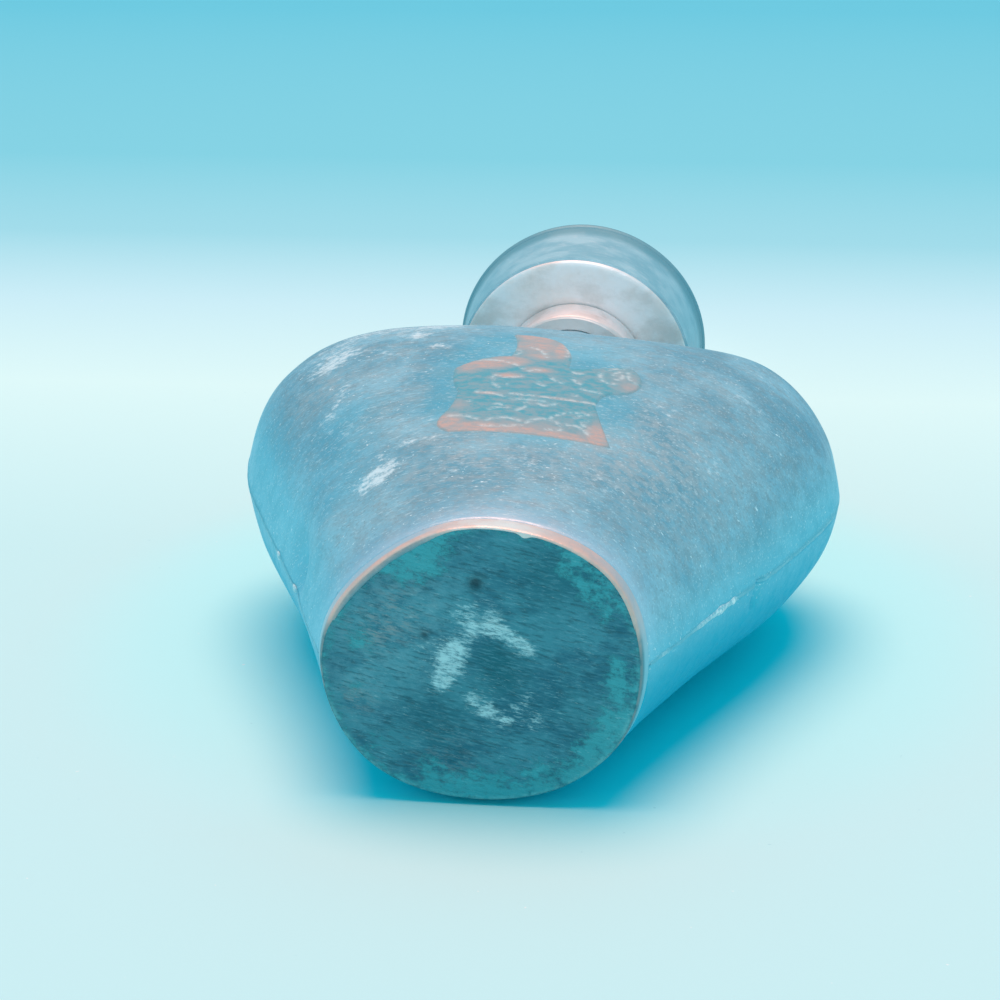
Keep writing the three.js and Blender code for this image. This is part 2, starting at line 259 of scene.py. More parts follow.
def makePewter():
    mix = startFinish("wornPewter", pewterColours, 0.35, specular=0.15, edgeTint=(0.35, 0.80, 1.0))
    cloud = mix.patches(14, 0.36, 0.64, detail=7, roughness=0.65)
    mottle = mix.patches(2.2, 0.40, 0.66, stretch=(1.5, 1, 1), detail=7, roughness=0.68, shift=0.3)
    brushed = mix.patches(0.20, 0.50, 0.68, stretch=(9, 2.0, 2.0), turn=0.25, detail=3)
    mix.colour = mix.blended(cloud, "dark", "light")
    mix.coat("brown", mottle, 0.40)
    mix.coat("brown", brushed, 0.45)
    mix.coat("copper", "rubbed", mix.patches(1.4, 0.42, 0.6, detail=7))
    mix.coat("polished", "polish", 0.8)
    mix.coat("halo", "halo")
    # Painted light: a cyan bounce light on the flanks and a deep cyan shade on the undersides, set
    # by how the skin faces as the bottle lies
    mix.coat("glow", "glow", 0.7)
    mix.coat("shade", "shade", 0.97)
    lit = mix.span(mix.times("shade"), 0.1, 0.9, 1.0, 0.15)
    back = mix.patches(0.18, 0.55, 0.70, stretch=(8, 1.8, 1.8), turn=-0.3, detail=3, shift=0.2)
    mix.coat("chalk", back, 0.45, lit)
    mix.coat("spot", mix.patches(0.5, 0.33, 0.26, detail=3, shift=0.11), 0.6)
    flecks = mix.patches(0.55, 0.655, 0.70, stretch=(2.4, 1, 1), turn=0.45, detail=3)
    flecks = mix.times(flecks, mix.patches(6, 0.42, 0.60, detail=4, shift=0.7))
    chips = mix.patches(0.8, 0.695, 0.735, stretch=(1.5, 1, 1), turn=0.4, detail=4, shift=0.37)
    mix.coat("fleck", mix.maths("MAXIMUM", flecks, chips), lit)
    crumbs = mix.grain(1.0, stretch=(1.4, 1, 1), detail=8, roughness=0.75)
    chalky = mix.torn("chalk", 0.30, crumbs, 0.62, 0.86)
    mix.coat("chalk", chalky, 0.85)
    rough = mix.maths("ADD", mix.span(mottle, 0, 1, 0.38, 0.52), mix.times(chalky, 0.3))
    dents = (mix.grain(2.4, detail=7), 0.06), (mix.grain(11, detail=3), 0.2)
    return mix.dress(rough, (brushed, 0.015), *dents)


# The solder's dull and dark tones are the body's painted cyan shade along the sides, not the
# solder's own colour; the bright tone is the scraped lumps
solderColours = {
    "dull": (0.18, 0.56, 0.68),
    "dark": (0.15, 0.48, 0.58),
    "bright": (0.90, 0.95, 0.97),
}


def makeSolder():
    mix = startFinish("solder", solderColours, 0.35)
    mottle = mix.patches(1.2, 0.35, 0.65, detail=6)
    scraped = mix.patches(0.7, 0.42, 0.56, 0.25, 1, detail=6, shift=0.2)
    mix.colour = mix.blended(mix.times("lump", scraped), "dull", "bright")
    mix.coat("dark", mottle, 0.3)
    return mix.dress(mix.span(mottle, 0, 1, 0.38, 0.6), (mix.grain(0.8, detail=5), 0.08))


bandColours = {
    "copper": (0.96, 0.50, 0.40),
    "dull": (0.78, 0.48, 0.42),
    # lip: the worn copper edge, paler along its upper middle as a painted highlight; the glint
    # beside it is painted too
    "lip": (1.00, 0.84, 0.80),
    "paintedGlint": (1.00, 0.90, 0.86),
    "strip": (0.50, 0.38, 0.38),
    "skin": (0.47, 0.57, 0.68),
    "glow": (0.20, 0.60, 0.73),
    "patina": (0.10, 0.34, 0.40),
    "teal": (0.05, 0.24, 0.29),
}


def makeBandCopper():
    mix = startFinish("rubbedCopper", bandColours, 0.15, specular=0.3)
    stain = mix.patches(1.6, 0.42, 0.64, detail=7, roughness=0.7)
    mix.colour = mix.blended(stain, "copper", "dull")
    wear = mix.patches(1.1, 0.40, 0.58, 0.55, 1.0, stretch=(1.8, 1, 1), detail=6, shift=0.3)
    mix.coat("lip", "lip", wear)
    mix.coat("paintedGlint", "paintedGlint")
    tarnish = mix.patches(0.7, 0.36, 0.58, 0.65, 1.0, detail=7, roughness=0.7, shift=0.5)
    mix.coat("strip", "strip", tarnish)
    mix.coat("patina", "fade")
    mix.coat("skin", "skin")
    # painted cyan bounce light on the band's lower side
    mix.coat("glow", "glow")
    aged = mix.times("aged", mix.span(stain, 0, 1, 0.75, 1))
    mix.coat("teal", aged)
    hammered = (mix.grain(0.5, stretch=(3, 1, 3), detail=4), 0.04), (mix.grain(2, detail=6), 0.12)
    return mix.dress(mix.span(aged, 0, 1, 0.28, 0.6), *hammered)


baseColours = {
    "dark": (0.018, 0.160, 0.225),
    "mid": (0.075, 0.300, 0.365),
    "streak": (0.16, 0.40, 0.48),
    "soot": (0.016, 0.110, 0.140),
    "centre": (0.004, 0.150, 0.195),
    "light": (0.20, 0.42, 0.48),
    "pale": (0.67, 0.83, 0.85),
    "verdigris": (0.072, 0.440, 0.480),
    "rust": (0.36, 0.37, 0.38),
    "pit": (0.008, 0.045, 0.062),
    "edge": (0.20, 0.52, 0.55),
}


def makeBasePatina():
    mix = startFinish("basePatina", baseColours, 0.15)
    brush = {"stretch": (6, 1, 1), "detail": 6, "roughness": 0.7}
    streaks = mix.patches(0.28, 0.46, 0.66, turn=0.20, **brush)
    soot = mix.patches(0.36, 0.50, 0.68, turn=0.24, shift=0.6, **brush)
    cloud = mix.patches(7, 0.40, 0.60, stretch=(1.4, 1, 1), detail=6, roughness=0.6)
    mix.colour = mix.blended(cloud, "dark", "mid")
    crumbled = {"detail": 8, "roughness": 0.75}
    mottled = {"stretch": (1.6, 1, 1), "turn": 0.2, "shift": 0.2, **crumbled}
    mix.coat("light", "light", mix.patches(1.3, 0.40, 0.60, 0.15, 1.0, **mottled))
    mix.coat("centre", "centre")
    mix.coat("streak", streaks, 0.48)
    mix.coat("soot", soot, 0.65)
    mix.coat("rust", "rust", mix.patches(0.5, 0.46, 0.62, stretch=(4, 1, 1), turn=0.24, **crumbled))
    crust = mix.grain(1.1, stretch=(1.5, 1, 1), turn=0.2, detail=9, roughness=0.78)
    green = mix.torn("verdigris", 0.32, crust, 0.62, 0.82)
    mix.coat("verdigris", green, 0.82)
    hairline = {"stretch": (7, 1, 1), "turn": 0.28, "detail": 4, "roughness": 0.7, "shift": 0.4}
    scratched = mix.patches(4, 0.42, 0.58, detail=6, shift=0.9)
    mix.coat("pale", mix.patches(0.16, 0.57, 0.70, **hairline), scratched, 0.35)
    flaked = mix.grain(0.36, stretch=(4, 1, 1), turn=0.22, detail=9, roughness=0.8)
    worn = mix.torn("worn", 0.28, flaked, 0.62, 0.84)
    mix.coat("pale", worn, 0.9)
    mix.coat("edge", "edge", mix.patches(1.4, 0.40, 0.60, detail=5, shift=0.3))
    mix.coat("pit", "pit")
    bumps = (streaks, 0.02), (soot, 0.03), (green, 0.05), (mix.grain(1.6, detail=8), 0.10)
    return mix.dress(mix.span(worn, 0, 1, 0.66, 0.50), *bumps)


ornamentColours = {
    "copper": (0.68, 0.42, 0.37),
    "red": (0.52, 0.43, 0.42),
    "blue": (0.11, 0.39, 0.48),
    "plum": (0.27, 0.41, 0.47),
    "line": (0.74, 0.80, 0.82),
    "edge": (0.44, 0.58, 0.63),
}


def makeOrnamentCopper():
    mix = startFinish("chasedCopper", ornamentColours, 0.1, specular=0.3)
    stain = mix.patches(1.2, 0.40, 0.60, stretch=(1.5, 1, 1), detail=9, roughness=0.72)
    mix.colour = mix.blended(stain, "blue", "plum")
    warm = mix.blended(mix.span(stain, 0.2, 1, 0, 0.9), "copper", "red")
    smeared = {"stretch": (1.7, 1, 1), "detail": 8, "roughness": 0.65, "shift": 0.4}
    mix.coat(warm, "bare", mix.patches(0.9, 0.34, 0.62, 0.6, 1.0, **smeared))
    mix.coat("edge", "edge", 0.35)
    mix.coat("line", "chased", mix.patches(0.9, 0.38, 0.60, 0.05, 0.6, detail=5))
    return mix.dress(mix.span(stain, 0, 1, 0.48, 0.62), (mix.grain(0.7, detail=6), 0.06))


capColours = {
    "tin": (0.86, 0.83, 0.87),
    "pink": (0.80, 0.72, 0.72),
    "brown": (0.52, 0.48, 0.48),
    "skirt": (0.36, 0.57, 0.66),
    "skirtDark": (0.27, 0.47, 0.56),
    "rim": (0.14, 0.32, 0.39),
}


def makeCapTin():
    mix = startFinish("capTin", capColours, 0.3)
    spot = mix.patches(5, 0.44, 0.70, stretch=(1.4, 1, 1), detail=5, shift=0.5)
    mix.colour = mix.blended(mix.patches(9, 0.38, 0.66, detail=4), "tin", "pink")
    mix.coat("brown", spot, 0.5)
    # Painted shade, partly brown stain: browner away from the top of the cap's floor and on the
    # socket
    mix.coat("brown", "dull", mix.span(spot, 0, 1, 0.45, 0.8))
    bumps = (mix.grain(1.2, detail=6), 0.04), (mix.grain(6, detail=3), 0.15)
    return mix.dress(mix.span(spot, 0, 1, 0.42, 0.56), *bumps)


def makeCapSkirt():
    mix = startFinish("capSkirtPewter", capColours, 0.3)
    cloud = mix.patches(5, 0.36, 0.64, stretch=(1.5, 1, 1), detail=6)
    brushed = mix.patches(0.4, 0.50, 0.70, stretch=(5, 2, 5), detail=4)
    mix.colour = mix.blended(cloud, "skirtDark", "skirt")
    mix.coat("tin", brushed, 0.15)
    mix.coat("rim", "rim")
    bumps = (brushed, 0.02), (mix.grain(3, detail=6), 0.1)
    return mix.dress(mix.span(cloud, 0, 1, 0.44, 0.58), *bumps)


leatherColours = {"dark": (0.10, 0.06, 0.04), "light": (0.24, 0.15, 0.10)}


def makeLeather():
    mix = startFinish("washerLeather", leatherColours, 0)
    pores = mix.specks(0.35)
    mix.colour = mix.blended(mix.patches(1.5, 0.35, 0.65, detail=6), "dark", "light")
    return mix.dress(mix.span(pores, 0, 1, 0.65, 0.85), (pores, 0.05))


pewter = makePewter()
solder = makeSolder()
bandCopper = makeBandCopper()
basePatina = makeBasePatina()
ornamentCopper = makeOrnamentCopper()
capTin = makeCapTin()
capSkirtPewter = makeCapSkirt()
washerLeather = makeLeather()
print("finishes made:", len(bpy.data.materials))


# The body's skin: half sizes against height, as in the solids
bodyShape = {
    "height": 108.0,
    "wall": 1.3,
    "fullness": 0.17,
    "squaredBy": 66.0,
    "roundingLength": 20.0,
    "side": [
        [(20, 0), (30.2, 34), (45.2, 55), (45.2, 77)],
        [(45.2, 77), (45.2, 97), (33, 102.5), (8.5, 108)],
    ],
    "front": [
        [(19, 0), (20.3, 26), (23.7, 46), (23.7, 66)],
        [(23.7, 66), (23.7, 80), (16.5, 97), (8.5, 108)],
    ],
    "rear": [
        [(19, 0), (24.9, 84)],
        [(24.9, 84), (25.53, 93), (19.5, 103.5), (8.5, 108)],
    ],
    "roll": 2.74,  # degrees that the shoulders stand turned on the foot
    "rollHeight": 45.0,
    "rollEnd": 110.0,
    "rollFade": 10.0,
    "waves": [(17, 0.22, 3.1), (5, 0.05, 8.4)],  # size, height and seed
    "seamRidge": {"left": 1.0, "right": 0.6},
    "seamRidgeReach": 4.0,
    "seamRidgeStart": 12.0,
    "seamRidgeEnd": 98.0,
    "seamRidgeFade": 20.0,
    "neckHole": 10.1,
    "bandTop": 2.45,
}
bodyProfiles = {
    side: np.vstack([curve(*part) for part in bodyShape[side]])
    for side in ("side", "front", "rear")
}
# Knocks in the sheet: place, reach and height, outwards if positive
bodyKnocks = [
    ((-34, -17, 90), 11, 1.2),
    ((32, -15.5, 86), 7, 1.3),
    ((42, -9.5, 77), 6, -0.8),
    ((45, 2, 70), 6, 0.4),
    ((-20, -1, 0), 8, 0.45),
    ((-15, 12, 0), 7, 0.8),
    ((-12.5, -14.5, 0), 7, -1.0),
    ((4, -18.5, 0), 4, -0.3),
    ((16.5, -10, 0), 6, 0.6),
    ((20, -1, 0), 7, -0.7),
    ((1, 19, 0), 9, -0.75),
    ((-30, -8, 52), 6, -0.6),
    ((12, -23, 88), 9, -0.4),
    ((-8, 24, 55), 10, -0.3),
]
# Creases: two ends, reach and height
bodyCreases = [
    ((-25.5, -11, 42), (-26.5, -3, 21), 1.6, -1.5),
    ((-21.5, -15, 46), (-22.0, -9, 18), 2.2, 1.0),
    ((36, -6, 60), (40, -4, 78), 2.2, -0.35),
    ((33.2, 0.4, 35.8), (33.3, 2.8, 35.2), 0.8, -0.8),
]


def halfSize(side, height):
    line = bodyProfiles[side]
    return np.interp(height, line[:, 1], line[:, 0])


def skin(angle, height):
    shape = bodyShape
    rise = smooth(height / shape["squaredBy"])
    fall = np.clip((shape["height"] - height) / shape["roundingLength"], 0, 1)
    power = 1 - shape["fullness"] * rise * fall
    cosine, sine = np.cos(angle), np.sin(angle)
    depth = np.where(sine < 0, halfSize("front", height), halfSize("rear", height))
    x = halfSize("side", height) * np.sign(cosine) * np.abs(cosine) ** power
    y = depth * np.sign(sine) * np.abs(sine) ** power
    return np.stack(np.broadcast_arrays(x, y, height), axis=-1).astype(float)


def skinNormal(angle, height, turnStep=1e-3, riseStep=0.05):
    turn = skin(angle + turnStep, height) - skin(angle - turnStep, height)
    rise = skin(angle, height + riseStep) - skin(angle, height - riseStep)
    normal = np.cross(turn, rise)
    return normal / np.maximum(np.linalg.norm(normal, axis=-1, keepdims=True), 1e-9)


def upwardness(angle, height):  # how far the skin faces up as the bottle lies, from -1 to 1
    return skinNormal(angle, height) @ np.array([across.z, rearward.z, along.z])


def angleOf(x, height):  # the angle of the front skin at a distance across
    power = 1 - bodyShape["fullness"] * smooth(height / bodyShape["squaredBy"])
    share = np.clip(x / halfSize("side", height), -1, 1)
    return -np.arccos(np.sign(share) * np.abs(share) ** (1 / power))


def knocksAt(points):
    shape = bodyShape
    lift = sum(height * uneven(points, size, seed) for size, height, seed in shape["waves"])
    for place, reach, height in bodyKnocks:
        lift = lift + height * bell(np.linalg.norm(points - np.array(place), axis=-1), reach)
    for start, end, reach, height in bodyCreases:
        lift = lift + height * bell(gapToLine(points, [start, end]), reach)
    x, y, z = np.moveaxis(points, -1, 0)
    ridge = np.exp(-np.abs(y) / shape["seamRidgeReach"]) * smooth(z / shape["seamRidgeStart"])
    ridge = ridge * smooth((shape["seamRidgeEnd"] - z) / shape["seamRidgeFade"])
    return lift + ridge * np.where(x < 0, shape["seamRidge"]["left"], shape["seamRidge"]["right"])


def rolled(points):
    shape = bodyShape
    x, y, z = np.moveaxis(points, -1, 0)
    turn = math.radians(shape["roll"]) * smooth(z / shape["rollHeight"])
    turn = turn * smooth((shape["rollEnd"] - z) / shape["rollFade"])
    cosine, sine = np.cos(turn), np.sin(turn)
    return np.stack([x * cosine - y * sine, x * sine + y * cosine, z], axis=-1)


def knocked(angle, height, lift=0):
    bare = skin(angle, height)
    return rolled(bare + skinNormal(angle, height) * (knocksAt(bare) + lift)[..., None])


# Two halves of sheet, front and rear
shellShape = {
    "rows": 150,
    "columns": 130,
    "seamGap": 0.12,
    "seamGapPower": 1.15,
    "holeAbove": 90,  # where the search for the neck hole's edge starts
    "holeSteps": 200,
    "rearChalk": 0.35,
    # where the paler skin above the foot (partly polish, partly painted highlight) starts and fades
    "polishFrom": 2.6,
    "polishReach": 2.9,
    "leftReach": 12,
    # Painted bounce light and painted shade, both set by how the skin faces as the bottle lies
    "glow": {"level": 0.5, "moreAtLeft": 0.23, "fade": 0.55},
    "shade": {"level": 0.16, "moreAtLeft": -0.1, "fade": 0.5},
    "halo": {"middle": (0.8, 48), "reach": (15, 20), "edge": 1.3, "fade": 0.5, "share": 0.42},
    "haloWaver": (0.25, 7, 6.6),  # share, size and seed
}
# Chalky patches, blue and rubbed places: distance across, height, reach and weight
chalkPatches = [
    (-17.4, 21.8, 1.9, 1.0), (-16.3, 22.8, 1.4, 0.9), (-15.4, 24.3, 0.8, 0.6),
    (-17.0, 27.2, 0.9, 0.65), (-14.0, 62.8, 1.2, 1.0), (-18.5, 69.2, 1.7, 0.85),
    (-31.6, 62.6, 1.9, 0.75), (-29.0, 65.0, 2.6, 0.65), (-33.5, 70, 4.0, 0.45),
    (-22, 80, 6.0, 0.5), (-30, 79, 5.0, 0.5), (-15, 78, 4.5, 0.6), (20, 46, 3.0, 0.4),
    (27, 38, 3.0, 0.45), (31, 60, 3.5, 0.4), (8, 78, 3.0, 0.4), (5, 20, 4.0, 0.35),
    (24, 28, 3.0, 0.4), (33, 74, 3.0, 0.4), (-6, 18, 3.0, 0.35), (-24, 38, 4.0, 0.4),
    (14, 20, 3.0, 0.4),
]
bluePlaces = [(-25.0, 42, 3.5, 0.40), (-23.4, 32, 3.4, 0.38), (-21.8, 23, 3.0, 0.36)]
rubbedPlaces = [
    (-30, 56, 4.0, 0.8), (15, 25, 8.0, 0.7), (22, 36, 8.0, 0.6),
    (26, 52, 10.0, 0.15), (-6, 22, 8.0, 0.6), (8, 74, 9.0, 0.2),
]
# Long pale scratches: two ends, reach and weight
chalkStreaks = [
    ((-27.5, 44.8), (-26.5, 52.2), 0.9, 0.7),
    ((-14.5, 28.8), (-10.5, 28.8), 0.6, 0.8),
    ((-25.9, 65.4), (-19.8, 60.4), 0.8, 0.6),
]


def spread(places, x, height):
    total = np.zeros(np.shape(x))
    for acrossPlace, upPlace, reach, weight in places:
        total = total + weight * bell(np.hypot(x - acrossPlace, height - upPlace), reach)
    return np.clip(total, 0, 1)


def streaked(lines, x, height):
    places = np.stack([x, height], axis=-1)
    total = np.zeros(np.shape(x))
    for start, end, reach, weight in lines:
        total = np.maximum(total, weight * bell(gapToLine(places, [start, end]), reach))
    return total


def ornamentHalo(points):  # the stain round the soldered ornament
    halo = shellShape["halo"]
    share, size, seed = shellShape["haloWaver"]
    x = (points[..., 0] - halo["middle"][0]) / halo["reach"][0]
    z = (points[..., 2] - halo["middle"][1]) / halo["reach"][1]
    gap = np.hypot(x, z) + share * uneven(points, size, seed)
    return halo["share"] * smooth((halo["edge"] - gap) / halo["fade"])


def shellGrid(isFront):
    shape = shellShape
    steps = np.linspace(0, 1, shape["rows"])
    line = bodyProfiles["side"]
    length = np.concatenate([[0], np.cumsum(np.linalg.norm(np.diff(line, axis=0), axis=1))])
    share = np.interp(steps * length[-1], length, line[:, 1] / line[-1, 1])[:, None]
    first = math.pi if isFront else 0
    sweep = np.linspace(0, math.pi, shape["columns"])[None, :]
    heights = np.linspace(shape["holeAbove"], bodyShape["height"], shape["holeSteps"])
    top = np.empty(sweep.shape)
    for column, angle in enumerate(sweep[0] + first):
        radius = np.linalg.norm(skin(angle, heights)[:, :2], axis=-1)
        top[0, column] = np.interp(-bodyShape["neckHole"], -radius, heights)
    height = bodyShape["bandTop"] + (top - bodyShape["bandTop"]) * share
    gapShare = shape["seamGap"] / halfSize("front", height)
    edge = np.arcsin(np.clip(gapShare ** shape["seamGapPower"], 0, 1))
    return first + edge + sweep / math.pi * (math.pi - 2 * edge), height


def makeShell(isFront):
    shape = shellShape
    angle, height = shellGrid(isFront)
    points = knocked(angle, height)
    x, z = points[..., 0], points[..., 2]
    facing = upwardness(angle, height)
    toLeft = smooth(-x / shape["leftReach"])
    masks = {"rubbed": spread(rubbedPlaces, x, z)}
    # painted cyan bounce light on the flanks and painted shade beneath, by how the skin faces
    for mask in ("glow", "shade"):
        level = shape[mask]["level"] + shape[mask]["moreAtLeft"] * toLeft
        masks[mask] = smooth((level - facing) / shape[mask]["fade"])
    if isFront:
        masks["chalk"] = np.maximum(spread(chalkPatches, x, z), streaked(chalkStreaks, x, z))
        # paler towards the foot: partly polish, partly a painted highlight
        masks["polish"] = np.exp(-np.clip(z - shape["polishFrom"], 0, None) / shape["polishReach"])
        masks["halo"] = np.maximum(ornamentHalo(points), spread(bluePlaces, x, z))
    else:
        masks["chalk"] = shape["rearChalk"] * spread(chalkPatches, -x, z)
        masks.update(polish=0, halo=0)
    name, node = ("frontShell", "front_shell") if isFront else ("rearShell", "rear_shell")
    faces = gridFaces(*angle.shape, loopColumns=False)
    shell = addPiece(name, points, faces, pewter, "bottle", node, masks)
    thicken(shell, bodyShape["wall"])


makeShell(True)
makeShell(False)
print("body halves raised")


# Solder run along the two side seams, with the lumps left by the maker
seamShape = {
    "start": 3.0,
    "end": 106.0,
    "steps": 260,
    "halfWidth": 0.26,
    "height": 0.05,
    "sunk": 0.05,
    "root": -0.5,
    "unevenSize": 2.2,
    "unevenSeed": 5.0,
    "swing": [-90, -65, -35, 0, 35, 65, 90, 180],  # degrees round the bead, the last its root
    "lumps": {  # height, reach and size
        "left_seam": [(22.2, 0.45, 0.4), (32.6, 0.5, 0.45)],
        "right_seam": [
            (6.8, 0.8, 0.12), (17.5, 1.5, 0.2), (20.6, 1.2, 0.26),
            (23.4, 1.0, 0.45), (25.4, 0.9, 0.35), (27.4, 0.6, 0.3),
        ],
    },
}


def makeSeam(name, node, angle):
    shape = seamShape
    height = np.linspace(shape["start"], shape["end"], shape["steps"])
    around = np.full(height.shape, angle)
    line, normal = knocked(around, height), skinNormal(around, height)
    lump = sum(size * bell(height - place, reach) for place, reach, size in shape["lumps"][node])
    rough = uneven(line, shape["unevenSize"], shape["unevenSeed"] + angle)
    width = shape["halfWidth"] * (1 + 0.3 * rough) + 0.6 * lump * (1 + 0.7 * rough)
    proud = shape["height"] * (1 + 0.6 * rough) + 0.45 * lump
    rows = []
    for turn in np.radians(shape["swing"]):
        out = proud * np.cos(turn) if turn < 3 else np.full(height.shape, shape["root"])
        row = line + normal * (out - shape["sunk"])[:, None]
        row[:, 1] += width * np.sin(turn)
        rows.append(row)
    points = np.stack(rows, axis=1)
    if angle == 0:
        points = points[:, ::-1]
    faces = gridFaces(*points.shape[:2])
    masks = {"lump": np.clip(lump * 3, 0, 1)[:, None]}
    addPiece(name, points, faces, solder, "bottle", node, masks, sharp=60)


makeSeam("rightSeam", "right_seam", 0)
makeSeam("leftSeam", "left_seam", math.pi)
print("seams soldered")


# Foot band: a thin copper strip with a polished lip round the base plate
bandShape = {
    "segments": 320,
    "section": [  # inset from the skin and height; the last is the lip's inner edge
        (0.20, 0.01), (0.08, 0.07), (-0.01, 0.20), (-0.05, 0.45), (-0.06, 0.80), (-0.05, 1.40),
        (-0.04, 2.10), (-0.02, 2.45), (0.14, 2.58), (0.60, 2.58), (0.60, 1.50), (0.75, 0.40),
        (0.32, 0.10), (0.22, 0.00),
    ],
    "lipWaver": 0.14,
    "lipHeight": 1.2,
    "lipSet": 0.2,  # how far the lip is pushed in where it is worn flush
    "strip": 0.5,
    "stripRagged": 0.1,
    "burr": 0.45,
    "burrPlace": 0.265,  # across the foot, from -1 to 1
    "burrReach": 0.024,
}


def footRing(inset, height, angle):
    bare = skin(angle, height)
    normal = skinNormal(angle, height)
    normal[..., 2] = 0
    normal = normal / np.linalg.norm(normal, axis=-1, keepdims=True)
    return rolled(bare + normal * (knocksAt(bare) - inset)[..., None])


def lipShown(angle):  # 1 along the upper edge, where the copper lip stands clear of the plate
    return smooth((-0.08 - np.sin(angle)) / 0.32)


def upperLeft(angle):
    return smooth((-np.cos(angle) - np.sin(angle) - 1.15) / 0.22)


def lipOverlap(angle):  # how much further the lip reaches over the plate, with one torn burr
    shape = bandShape
    ragged = shape["stripRagged"] * uneven(skin(angle, np.zeros(angle.shape)), 1.7, 7.7)
    burr = bell(np.cos(angle) - shape["burrPlace"], shape["burrReach"]) * (np.sin(angle) < 0)
    return (shape["strip"] + ragged) * upperLeft(angle) + shape["burr"] * burr


def lipWave(points):
    return bandShape["lipWaver"] * (0.5 + uneven(points * [1, 1, 0], 4.5, 2.0))


def makeFootBand():
    shape = bandShape
    angle = fullTurn(shape["segments"])
    cosine, sine = np.cos(angle), np.sin(angle)
    section = np.array(shape["section"])
    inset, height = section[:, :1] + 0 * angle, section[:, 1:] + 0 * angle
    inset[-2:] += lipOverlap(angle)
    points = footRing(inset, height, angle)
    lip = smooth((shape["lipHeight"] - height) / shape["lipHeight"])
    points[..., 2] += (lipWave(points) + shape["lipSet"] * (1 - lipShown(angle))) * lip
    # top and the glint: a painted highlight and a painted glint along the lip's upper middle
    top = bell(cosine - 0.06, 0.22) * (sine < 0)
    paintedGlint = bell(cosine - 0.15, 0.12) * (sine < 0)
    covered = smooth((-0.2 - cosine) / 0.25)  # the grey skin reaches down over the band at the left
    worn = np.clip(0.2 + 0.4 * smooth((cosine - 0.55) / 0.35) + 0.75 * covered, 0, 1)
    skinEdge = smooth((height - 0.45 - 0.35 * covered) / (0.6 - 0.2 * covered))
    inside = smooth((inset - 0.12) / 0.06) * smooth((0.3 - height) / 0.1)
    # The lip's pale tone grows along the top: a painted highlight laid over the worn copper edge
    lipEdge = smooth((0.62 - height) / 0.3) * (0.25 + 0.75 * top)
    fade = 0 * inset
    fade[-1:] = 0.8 * upperLeft(angle)
    masks = {
        "lip": lipEdge + 0.9 * top * smooth((height - 0.3) / 0.4),
        "paintedGlint": 0.85 * paintedGlint * smooth((height - 0.25) / 0.3) * smooth((2.3 - height) / 0.5),
        "strip": inside * upperLeft(angle),
        "fade": fade,
        "skin": skinEdge * worn * (1 - 0.8 * top),
        # painted cyan bounce light on the band's lower side
        "glow": 0.9 * smooth((sine + 0.45) / 0.45) * smooth((height - 0.3) / 0.6),
        "aged": (1 - lipShown(angle)) * smooth((1.6 - height) / 0.8),
    }
    faces = gridFaces(*points.shape[:2], loopRows=True)
    addPiece("footBand", points, faces, bandCopper, "bottle", "foot_band", masks)


makeFootBand()


# Base plate: let into the lip, a little sunk, pitted and worn
plateShape = {
    "rings": 70,
    "segments": 200,
    "hub": 0.01,  # the middle ring's share of the plate
    "insetBelow": 0.06,
    "underLip": 0.08,
    "sunk": 0.07,
    "thickness": 1.2,
    "edgeFrom": 0.9,
    "pitTone": 0.35,  # the depth at which a pit is fully dark
    "pits": [  # place, reach and depth
        ((-0.98, -11.05), 0.62, 0.45), ((-7.45, -3.98), 0.42, 0.3),
        ((9.5, 3.0), 0.3, 0.15), ((-3, 12), 0.35, 0.15),
    ],
    # The rest: two distances from the middle, reach and weight
    "worn": [
        (-3.6, -2.2, 1.4, 1.0), (-4.6, 0.2, 1.4, 1.0), (-5.4, 2.4, 1.0, 0.9),
        (-2.4, -7.2, 1.6, 0.62), (-1.2, -4.8, 1.2, 0.6), (1.4, -5.2, 1.0, 0.9),
        (3.4, -4.2, 1.0, 0.95), (5.4, -2.6, 1.0, 1.0), (1.4, -7.6, 1.4, 0.5),
        (-1.6, 4.4, 0.9, 0.95), (0.5, 6.0, 1.1, 1.0), (2.6, 7.3, 0.9, 0.75),
        (5.5, 3.6, 0.8, 0.55), (6.6, 7.1, 1.2, 0.7), (4.2, 5.6, 1.0, 0.4),
        (-8.0, -3.0, 2.0, 0.4), (4.0, 1.6, 0.5, 0.4),
    ],
    "verdigris": [
        (-6.8, -15.2, 2.6, 1.0), (-9.8, -13.0, 2.0, 0.8), (-15.8, -3.2, 1.8, 0.8),
        (-16.6, 3.6, 1.5, 0.6), (16.6, -1.0, 1.3, 1.0), (16.7, 2.0, 1.3, 1.0),
        (15.2, 9.2, 2.2, 1.0), (13.2, 11.6, 1.6, 0.7), (1.0, 16.6, 2.6, 0.9),
        (-6.8, 15.2, 2.2, 0.8), (6.7, 15.2, 2.2, 0.8), (10.4, -13.6, 1.6, 0.85),
        (13.4, -10.8, 1.5, 0.9), (15.4, -7.8, 1.4, 0.8), (-13.0, 11.0, 1.8, 0.5),
        (16.4, 5.6, 1.6, 0.7), (11.0, 13.6, 1.6, 0.6), (-3.0, 16.6, 1.8, 0.7),
    ],
    "light": [
        (-9.0, -2.5, 4.0, 0.35), (-12.5, -9.0, 4.5, 0.45), (-16.0, 1.0, 3.0, 0.5),
        (-6.5, -10.5, 4.0, 0.3), (-9.5, 3.0, 3.0, 0.3),
    ],
    "centre": [
        (2.4, 0.8, 2.3, 1.0), (1.0, -1.6, 1.5, 0.8), (-6.3, 7.8, 3.6, 0.75),
        (8.3, -12.6, 3.4, 0.8), (11.0, 5.0, 3.0, 0.4),
    ],
    "rust": [
        (-10.5, -6.9, 2.4, 0.8), (-14.0, -4.2, 2.0, 0.8),
        (-16.0, 4.7, 1.8, 0.6), (-5.0, 13.0, 3.0, 0.4),
    ],
}


